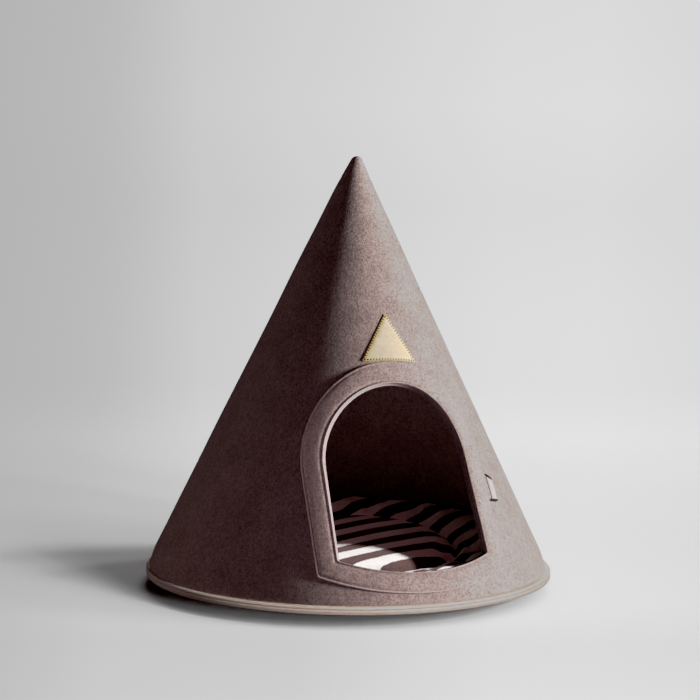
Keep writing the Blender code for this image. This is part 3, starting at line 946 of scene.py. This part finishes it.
def make_tag(material):
    bm = bmesh.new()
    rings = []
    for i in range(TAG_ROWS + 1):
        along = i / TAG_ROWS * 2 - 1
        over = []
        under = []
        for j in range(TAG_COLUMNS + 1):
            across = j / TAG_COLUMNS * 2 - 1
            u, v = tilted(TAG_MIDDLE[0] + TAG_WIDTH / 2 * across,
                          TAG_MIDDLE[1] + TAG_LENGTH / 2 * along, TAG_MIDDLE, TAG_TILT)
            fall = TAG_RIM_DROP * (across ** 2 + abs(across) ** 8 + abs(along) ** 14) / 2
            height = CLEARANCE + TAG_THICKNESS - fall + TAG_ARCH * (1 - along ** 2)
            over.append(bm.verts.new(on_cone(u, v, height)))
            under.append(bm.verts.new(on_cone(u, v, CLEARANCE)))
        rings.append(over + under[::-1])
    skin(bm, rings)
    for ring in (rings[0], rings[-1]):
        for j in range(TAG_COLUMNS):
            bm.faces.new((ring[j], ring[j + 1], ring[-2 - j], ring[-1 - j]))
    tag = finish_mesh("tape_tag", bm, material, sharp_angle=60)
    stitches = []
    for start, end in SLIT_SHADE_BARS:
        for k in range(SLIT_SHADE_THREADS):
            across = k / (SLIT_SHADE_THREADS - 1)
            u, v = part_way(start, end, across)
            length = (2.3 + 1.5 * math.sin(math.pi * across)) * MM
            stitches += stitches_on_cone([((u * MM, v * MM), (0.25, 1.0))], SLIT_SHADE_HEIGHT, length)
    # Dark bars as painted shade of the slits at the tape's ends.
    sewing = make_stitches("tag_slit_shade_bars", stitches, 1.4 * MM, 0.8 * MM, "black_slit_shade_thread")
    sewing.parent = tag
    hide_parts("side_tag")
    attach(tag, "root")


# ---- Plywood base and feet ----

BASE_EDGE_ROUND = 2.3 * MM
PLY_WEAR = 0.18 * MM
PLY_ROWS = (2.45, 2.7, 3.1, 3.5, 3.8, 4.1, 4.9, 5.7, 6.0, 6.3)
# (radius, z) of a foot from its top to the middle of its underside, with its screw's recess
FOOT_PROFILE = ((0, 13.7), (13.6, 13.7), (14.4, 13.45), (14.9, 12.8), (15.0, 12.0), (14.6, 3.0),
                (14.3, 1.4), (13.7, 0.5), (12.8, 0.05), (12.2, 0.0), (6.2, 0.0), (5.6, 0.2),
                (5.3, 0.8), (5.2, 3.6), (4.6, 4.1), (0, 4.1))


def make_base(material):
    """Turned plate: rounded edges, and a hair's depth where a crossed ply is worn back."""
    radius = BASE_EDGE_ROUND
    inner = BASE_RADIUS - radius
    profile = [(0, BASE_TOP), (110 * MM, BASE_TOP), (200 * MM, BASE_TOP)]
    profile += arc((inner, BASE_TOP - radius), radius, math.pi, math.pi / 2, 6)
    for depth in PLY_ROWS:
        crossed = any(low < depth < high for low, high in CROSSED_PLIES)
        profile.append((BASE_RADIUS - (PLY_WEAR if crossed else 0), BASE_TOP - depth * MM))
    profile += arc((inner, FOOT_HEIGHT + radius), radius, math.pi / 2, 0, 6)
    profile += [(200 * MM, FOOT_HEIGHT), (110 * MM, FOOT_HEIGHT), (0, FOOT_HEIGHT)]
    base = lathe("base_plate", profile, 288, material)
    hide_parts("base_disc")
    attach(base, "root")
    return base


def make_feet(material):
    for name in ("foot_1", "foot_2", "foot_3", "foot_4"):
        low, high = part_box(name)
        centre = Vector(((low[0] + high[0]) / 2, (low[1] + high[1]) / 2, 0))
        profile = [(radius * MM, z * MM) for radius, z in FOOT_PROFILE]
        foot = lathe("rubber_" + name, profile, 48, material, centre)
        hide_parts(name)
        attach(foot, "root")


# ---- Cushion: blown up by a cloth simulation between its sewn lines ----

CUSHION_VOXEL = 4.6 * MM
CUSHION_SEGMENTS = 120
CUSHION_RINGS = 22
START_FULLNESS = 0.86
SWELL_CAP = 6 * MM
# From the side to the underside: (share of the radius, share of the side's height)
CUSHION_SIDE = ((1.0, 0.7), (0.996, 0.4), (0.985, 0.15), (0.965, 0.0), (0.7, 0.0), (0.35, 0.0))
CLOTH = dict(quality=6, mass=0.25, tension_stiffness=14, compression_stiffness=14,
             shear_stiffness=6, bending_stiffness=0.4, use_pressure=True,
             uniform_pressure_force=4, shrink_min=-0.035, vertex_group_mass="held")
CHANNEL_WIDTH = 3.2 * MM
CHANNEL_DEPTH = 4.2 * MM
CHANNEL_WANDER = 0.8 * MM
EDGE_SEAM_DEPTH = 1.6 * MM
EDGE_SEAM_WIDTH = 1.6 * MM
WALL_GAP = 1.2 * MM


def cushion_level(distance, angle):
    """Height of the slack cushion, which rises to one side and is never thinner than THINNEST."""
    towards_high_side = distance * math.cos(angle - HIGH_SIDE_ANGLE)
    height = CHANNEL_HEIGHT + CHANNEL_RISE * towards_high_side / CHANNEL_RADIUS
    return THINNEST + THIN_BLEND * math.log(1 + math.exp((height - THINNEST) / THIN_BLEND))


def cushion_top(distance, angle):
    """Height of the cushion over the base, at a distance and an angle about its middle."""
    level = cushion_level(distance, angle)
    if distance <= CHANNEL_RADIUS:
        share = distance / CHANNEL_RADIUS
        return level + START_FULLNESS * PAD_CROWN * (1 - share ** 2) ** PAD_FULLNESS
    middle = (CHANNEL_RADIUS + CUSHION_RADIUS) / 2
    share = (distance - middle) / (CUSHION_RADIUS - middle)
    crown = RING_CROWN + sum(size * math.sin(count * angle + start)
                             for count, size, start in RING_WAVES)
    return level + START_FULLNESS * crown * max(1 - share ** 2, 0) ** RING_FULLNESS


def cushion_start(material):
    """The slack cushion as a closed turned form that the remesh makes even."""
    shares = [i / CUSHION_RINGS for i in range(1, CUSHION_RINGS + 1)]
    distances = [CHANNEL_RADIUS * share for share in shares]
    distances += [CHANNEL_RADIUS + (CUSHION_RADIUS - CHANNEL_RADIUS) * share for share in shares[:-1]]
    distances.append(CUSHION_RADIUS * 0.998)
    # (distance, distance whose height counts, share of that height)
    rows = [(distance, distance, 1) for distance in distances]
    rows += [(CUSHION_RADIUS * share, CUSHION_RADIUS, part) for share, part in CUSHION_SIDE]
    bm = bmesh.new()
    rings = [circle(bm, CUSHION_MIDDLE, distance,
                    lambda angle: CUSHION_FLOOR + part * cushion_top(counted, angle), CUSHION_SEGMENTS)
             for distance, counted, part in rows]
    skin(bm, rings)
    for ring, height in ((rings[0], cushion_top(0, 0)), (rings[-1], 0)):
        skin(bm, [ring, circle(bm, CUSHION_MIDDLE, 0, lambda angle: CUSHION_FLOOR + height, 1)])
    cushion = finish_mesh("striped_cushion", bm, material)
    remesh = cushion.modifiers.new("even", "REMESH")
    remesh.mode = "VOXEL"
    remesh.voxel_size = CUSHION_VOXEL
    keep_shape_of(cushion)
    return cushion


def keep_shape_of(obj):
    """Puts what the modifiers show into the mesh itself, and takes them off."""
    depsgraph = bpy.context.evaluated_depsgraph_get()
    mesh = bpy.data.meshes.new_from_object(obj.evaluated_get(depsgraph))
    mesh.name = obj.name
    obj.modifiers.clear()
    obj.data = mesh


def about_middle(point):
    flat = Vector((point.x - CUSHION_MIDDLE.x, point.y - CUSHION_MIDDLE.y))
    return flat.length, math.atan2(flat.y, flat.x)


def blow_up(cushion):
    """Pressure swells the cloth between the channel and the underside, which are held."""
    held = []
    for vertex in cushion.data.vertices:
        off_channel = abs(about_middle(vertex.co)[0] - CHANNEL_RADIUS)
        on_channel = off_channel < 3.4 * MM and vertex.co.z > CUSHION_FLOOR + 4 * MM
        if on_channel or vertex.co.z < CUSHION_FLOOR + 1.5 * MM:
            held.append(vertex.index)
    cushion.vertex_groups.new(name="held").add(held, 1.0, "REPLACE")
    settings = cushion.modifiers.new("cloth", "CLOTH").settings
    for key, value in CLOTH.items():
        setattr(settings, key, value)
    settings.effector_weights.gravity = 0
    scene = bpy.context.scene
    for step in range(1, 21):
        scene.frame_set(step)
    shown = cushion.evaluated_get(bpy.context.evaluated_depsgraph_get())
    after = [vertex.co.copy() for vertex in shown.data.vertices]
    cushion.modifiers.clear()
    cushion.vertex_groups.clear()
    scene.frame_set(1)
    for vertex, new in zip(cushion.data.vertices, after):
        move = new - vertex.co
        if move.length > SWELL_CAP:
            move = move.normalized() * SWELL_CAP
        vertex.co += move


def pucker_at(distance, angle):
    """Height of the small gathers that run out from the sewn channel and fade away."""
    side = 1 if distance > CHANNEL_RADIUS else -1
    away = abs(distance - CHANNEL_RADIUS)
    ring = Vector((math.cos(angle), math.sin(angle), 0.4 * side))
    fine = noise.noise(ring * 17 + Vector((0, 0, away * 12)))
    broad = noise.noise(ring * 7 + Vector((5, 1, away * 9)))
    return (1.1 * MM * fine * math.exp(-away / (9 * MM))
            + 1.5 * MM * broad * math.exp(-away / (26 * MM)))


def sew_cushion(cushion):
    """Draws in the round channel and the seam around the side, with their gathers."""
    for vertex in cushion.data.vertices:
        point = vertex.co
        distance, angle = about_middle(point)
        way = Vector((math.cos(angle), math.sin(angle), 0))
        height = point.z - CUSHION_FLOOR
        if height > 5 * MM:
            wander = CHANNEL_WANDER * noise.noise(way * 3 + Vector((0, 0, 2)))
            away = distance - CHANNEL_RADIUS - wander
            groove = CHANNEL_DEPTH * math.exp(-(away / CHANNEL_WIDTH) ** 2)
            edge_fade = smooth_step(CUSHION_RADIUS - 4 * MM, CUSHION_RADIUS - 22 * MM, distance)
            lift = pucker_at(distance, angle) * edge_fade
            point.z += smooth_step(5 * MM, 9 * MM, height) * (lift - groove)
        if distance > CUSHION_RADIUS - 12 * MM:
            from_seam = height - 0.45 * cushion_level(CUSHION_RADIUS, angle)
            point -= way * (EDGE_SEAM_DEPTH * math.exp(-(from_seam / EDGE_SEAM_WIDTH) ** 2))
        point.z = max(point.z, CUSHION_FLOOR)


def keep_inside_wall(cushion):
    """Keeps the cushion's side a little clear of the felt around it."""
    for vertex in cushion.data.vertices:
        point = vertex.co
        centre = lean_at(point.z)
        wall = ((APEX_Z - point.z) * SIN_HALF / COS_HALF - drawn_in_at(point.z) - WALL / COS_HALF
                - WALL_GAP)
        out = Vector((point.x - centre.x, point.y - centre.y, 0))
        if out.length > wall:
            out *= wall / out.length
            point.x = centre.x + out.x
            point.y = centre.y + out.y


def make_cushion(material):
    cushion = cushion_start(material)
    blow_up(cushion)
    smooth = cushion.modifiers.new("smooth", "SUBSURF")
    smooth.levels = 1
    smooth.render_levels = 1
    keep_shape_of(cushion)
    sew_cushion(cushion)
    keep_inside_wall(cushion)
    cushion.data.shade_smooth()
    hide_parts("cushion")
    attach(cushion, "root")
    return cushion


# ---- Floor, backdrop and light ----

FLOOR_RINGS = (0, 0.3, 0.9, 1.8, 3.4)
FLOOR_REACH = FLOOR_RINGS[-1]
BOWL_ROUND = 1.6
BOWL_HEIGHT = 5.0
LIT_FLOOR = (0.75, 1.5)
PAPER = 0.7
ROOM = (0.010, 0.006, 0.006)
# Painted light on the paper across the view, brighter and darker as the light falls off, in its glow
# and in its lit colour: (share of the width, on the backdrop, on the floor)
PAINTED_LIGHT_ACROSS = ((0.0, 0.575, 0.735), (0.141, 0.69, 0.842), (0.284, 0.90, 0.868),
                (0.426, 0.975, 0.882), (0.569, 1.035, 0.975), (0.71, 1.10, 1.05),
                (0.853, 1.112, 1.052), (1.0, 1.07, 1.035))
# The same painted light down the view: (slope of the line of sight, tone)
PAINTED_LIGHT_DOWN = ((-0.08, 0.94), (-0.03, 0.965), (0.02, 0.93), (0.07, 0.966), (0.11, 0.975),
              (0.136, 1.045), (0.161, 1.023), (0.191, 1.013), (0.221, 1.026), (0.241, 0.987),
              (0.27, 1.03))
# Slopes of the line of sight between which the backdrop's tone becomes the floor's
FLOOR_FROM = (0.1076, 0.2)

# Distant lamps on the object: azimuth from the camera's side to its right, height and size in
# degrees, the tone of a white surface that faces the lamp, its colour, and what it lights
LAMPS = (
    ("key", 79, 8, 12, 2.46, (1.0, 0.975, 0.965), "object"),
    ("left_fill", -118, 5, 45, 0.118, (1.0, 0.77, 0.79), "all"),
    ("front_fill", 4, 5, 60, 0.058, (1.0, 0.77, 0.79), "all"),
    ("behind", 172, 6, 30, 0.55, (1.0, 0.93, 0.9), "all"),
    ("base_key", 48, 22, 12, 1.8, (1.0, 0.985, 0.975), "base"),
    ("cushion_key", 62, 55, 5, 2.2, (1.0, 0.985, 0.975), "cushion"),
    ("cushion_fill", 12, 25, 40, 0.072, (1.0, 0.36, 0.46), "cushion"),
)
# Distant lamps on the floor: azimuth, height and size, and share of all the light there
FLOOR_LAMPS = ((55, 25, 16, 0.217), (30, 10, 8, 0.084), (85, 25, 16, 0.163), (120, 74, 40, 0.160),
               (70, 38, 16, 0.186), (40, 17, 4, 0.092), (85, 52, 4, 0.085))
# Light that the bright floor and a near screen send back: offset to the right, towards the
# camera and up, the two sizes, the power, how far in degrees it rises from level, its colour,
# and what it lights
BOUNCES = (
    ("bounce_front", 0.06, 0.48, 0.004, 0.60, 0.34, 0.50, 90, (1.0, 0.69, 1.0), "object"),
    ("bounce_left", -0.52, 0.12, 0.004, 0.36, 0.40, 0.16, 90, (1.0, 0.76, 0.76), "all"),
    ("bounce_low", -0.36, 0.36, 0.012, 0.30, 0.02, 0.055, 12, (1.0, 0.76, 0.76), "all"),
    ("ring_fill", -0.24, 0.27, 0.15, 0.05, 0.26, 0.15, -6, (1.0, 0.82, 0.82), "surround"),
)
# Contrast of the picture: (tone, tone shown)
TONE_CURVE = ((0.0, 0.0), (0.01, 0.0015), (0.02, 0.0105), (0.035, 0.0265), (0.06, 0.052),
              (0.10, 0.088), (0.15, 0.135), (0.20, 0.184), (0.27, 0.255), (0.37, 0.358),
              (0.46, 0.432), (0.55, 0.464), (0.65, 0.490), (0.8, 0.560), (1.0, 0.678),
              (1.3, 0.86), (1.6, 1.0))


def ramp_of(value, stops):
    """Tones over a value, from stops of (value, tone). They are halved in the ramp itself,
    whose colours end at 1."""
    low, high = stops[0][0], stops[-1][0]
    ramp = put("ShaderNodeValToRGB", "Color", {"Fac": stretch(value, low, high, way="LINEAR")})
    elements = ramp.socket.node.color_ramp.elements
    elements.remove(elements[1])
    for k, (at, tone) in enumerate(stops):
        element = elements.new((at - low) / (high - low)) if k else elements[0]
        element.color = (tone / 2, tone / 2, tone / 2, 1)
    return put("ShaderNodeSeparateColor", 0, {0: ramp}) * 2.0


def make_stage_material():
    """Pale paper: lit near the object, and glowing, unshadowed, further away. Its tone across and down
    the view is painted light, in the glow and in the lit paper's colour.
    """
    material = bpy.data.materials.new("stage_paper")
    material.use_nodes = True
    tree = material.node_tree
    tree.nodes.remove(tree.nodes["Principled BSDF"])
    place = put("ShaderNodeNewGeometry", "Position", {}, tree)

    def along(direction):
        return put("ShaderNodeVectorMath", "Value", {0: place, 1: tuple(direction)},
                   operation="DOT_PRODUCT")

    eye_height = VIEW_TARGET.z + VIEW_DISTANCE * math.sin(VIEW_PITCH)
    depth = maths("MAXIMUM", along(VIEW_AWAY) + VIEW_DISTANCE, 0.9)
    across = along(VIEW_RIGHT) / depth / VIEW_WIDTH + 0.5
    slope = (eye_height - along((0, 0, 1))) / depth
    behind, below = (ramp_of(across, [(row[0], row[k]) for row in PAINTED_LIGHT_ACROSS]) for k in (1, 2))
    on_floor = stretch(slope, *FLOOR_FROM)
    tone = (behind * (1.0 - on_floor) + below * on_floor) * ramp_of(slope, PAINTED_LIGHT_DOWN)
    colour = put("ShaderNodeCombineColor", 0, {0: tone, 1: tone, 2: tone * 1.005})
    paper = put("ShaderNodeVectorMath", 0, {0: colour, "Scale": PAPER}, operation="SCALE")
    flat = put("ShaderNodeVectorMath", 0, {0: place, 1: (1, 1, 0)}, operation="MULTIPLY")
    radius = put("ShaderNodeVectorMath", "Value", {0: flat}, operation="LENGTH")
    lit = put("ShaderNodeBsdfDiffuse", 0, {"Color": paper})
    even = put("ShaderNodeEmission", 0, {"Color": colour, "Strength": 1.0})
    mixed = put("ShaderNodeMixShader", 0, {0: stretch(radius, *LIT_FLOOR), 1: lit, 2: even})
    tree.links.new(mixed.socket, tree.nodes["Material Output"].inputs["Surface"])
    return material


def make_lamp(name, kind, energy, colour, direction, axis, receivers):
    data = bpy.data.lights.new(name, kind)
    data.energy = energy
    data.color = colour
    lamp = put_in_scene(name, data)
    aim(lamp, direction, axis)
    lamp.light_linking.receiver_collection = receivers
    return lamp


def risen(level, degrees):
    """A level direction raised by an angle."""
    rise = math.radians(degrees)
    return level * math.cos(rise) + Vector((0, 0, math.sin(rise)))


def make_distant_lamp(name, azimuth, height, size, tone, colour, receivers):
    turn = math.radians(azimuth)
    towards = risen(VIEW_RIGHT * math.sin(turn) - VIEW_AWAY * math.cos(turn), height)
    lamp = make_lamp(name, "SUN", math.pi * tone, colour, towards, "Z", receivers)
    lamp.data.angle = math.radians(size)


def make_bounce(name, right, near, up, wide, deep, power, rise, colour, receivers):
    """Light from the floor around, which fades up the cone and reaches the roof inside."""
    place = VIEW_RIGHT * right - VIEW_AWAY * near
    lamp = make_lamp(name, "AREA", power, colour, risen(-place.normalized(), rise), "-Z", receivers)
    lamp.data.shape = "RECTANGLE"
    lamp.data.size = wide
    lamp.data.size_y = deep
    lamp.location = place + Vector((0, 0, up))
    lamp.visible_camera = False


def receivers_of(name, left_out=(), only=()):
    """The pieces that a lamp lights: only some of them, or all but some."""
    group = bpy.data.collections.new(name)
    for piece in (*left_out, *only):
        group.objects.link(piece)
    if left_out:
        for entry in group.collection_objects:
            entry.light_linking.link_state = "EXCLUDE"
    return group


def make_stage(cushion, surround, base):
    paper = make_stage_material()
    floor = lathe("floor", [(radius, 0) for radius in FLOOR_RINGS], 96, paper, sharp_angle=180)
    bowl = arc((FLOOR_REACH, BOWL_ROUND), BOWL_ROUND, 0, math.pi / 2, 16)
    bowl.append((FLOOR_REACH + BOWL_ROUND, BOWL_HEIGHT))
    backdrop = lathe("backdrop", bowl, 96, paper, sharp_angle=180)
    for piece in (floor, backdrop):
        piece.visible_shadow = False
        piece.visible_diffuse = False
        piece.visible_glossy = False

    groups = {
        "object": receivers_of("lit_object", left_out=(floor, backdrop, cushion, base)),
        "all": receivers_of("lit_all", left_out=(floor, backdrop, cushion)),
        "cushion": receivers_of("lit_cushion", only=(cushion,)),
        "surround": receivers_of("lit_surround", only=(surround,)),
        "base": receivers_of("lit_base", only=(base,)),
        "stage": receivers_of("lit_stage", only=(floor, backdrop)),
    }
    for *lamp, what in LAMPS:
        make_distant_lamp(*lamp, groups[what])
    for *bounce, what in BOUNCES:
        make_bounce(*bounce, groups[what])
    for k, (azimuth, height, size, share) in enumerate(FLOOR_LAMPS, 1):
        tone = share / (PAPER * math.sin(math.radians(height)))
        make_distant_lamp(f"floor_{k}", azimuth, height, size, tone, (1, 1, 1), groups["stage"])
    world = bpy.data.worlds.new("room")
    world.use_nodes = True
    world.node_tree.nodes["Background"].inputs["Color"].default_value = (*ROOM, 1)
    bpy.context.scene.world = world


def set_contrast():
    view = bpy.context.scene.view_settings
    view.view_transform = "Standard"
    view.look = "None"
    view.use_curve_mapping = True
    mapping = view.curve_mapping
    mapping.clip_max_x = TONE_CURVE[-1][0]
    points = mapping.curves[3].points
    points[0].location = TONE_CURVE[0]
    points[1].location = TONE_CURVE[-1]
    for at, shown in TONE_CURVE[1:-1]:
        points.new(at, shown)
    mapping.update()


# ---- The whole ----

make_camera()
set_contrast()
base = make_base(make_plywood())
make_feet(make_rubber())
make_cone(make_felt("felt"))
make_back_stitches()
surround = make_surround(make_felt("felt_surround", tone=1.10))
make_patch(make_leather())
make_tag(make_woven("tape"))
make_stage(make_cushion(make_cushion_cloth()), surround, base)
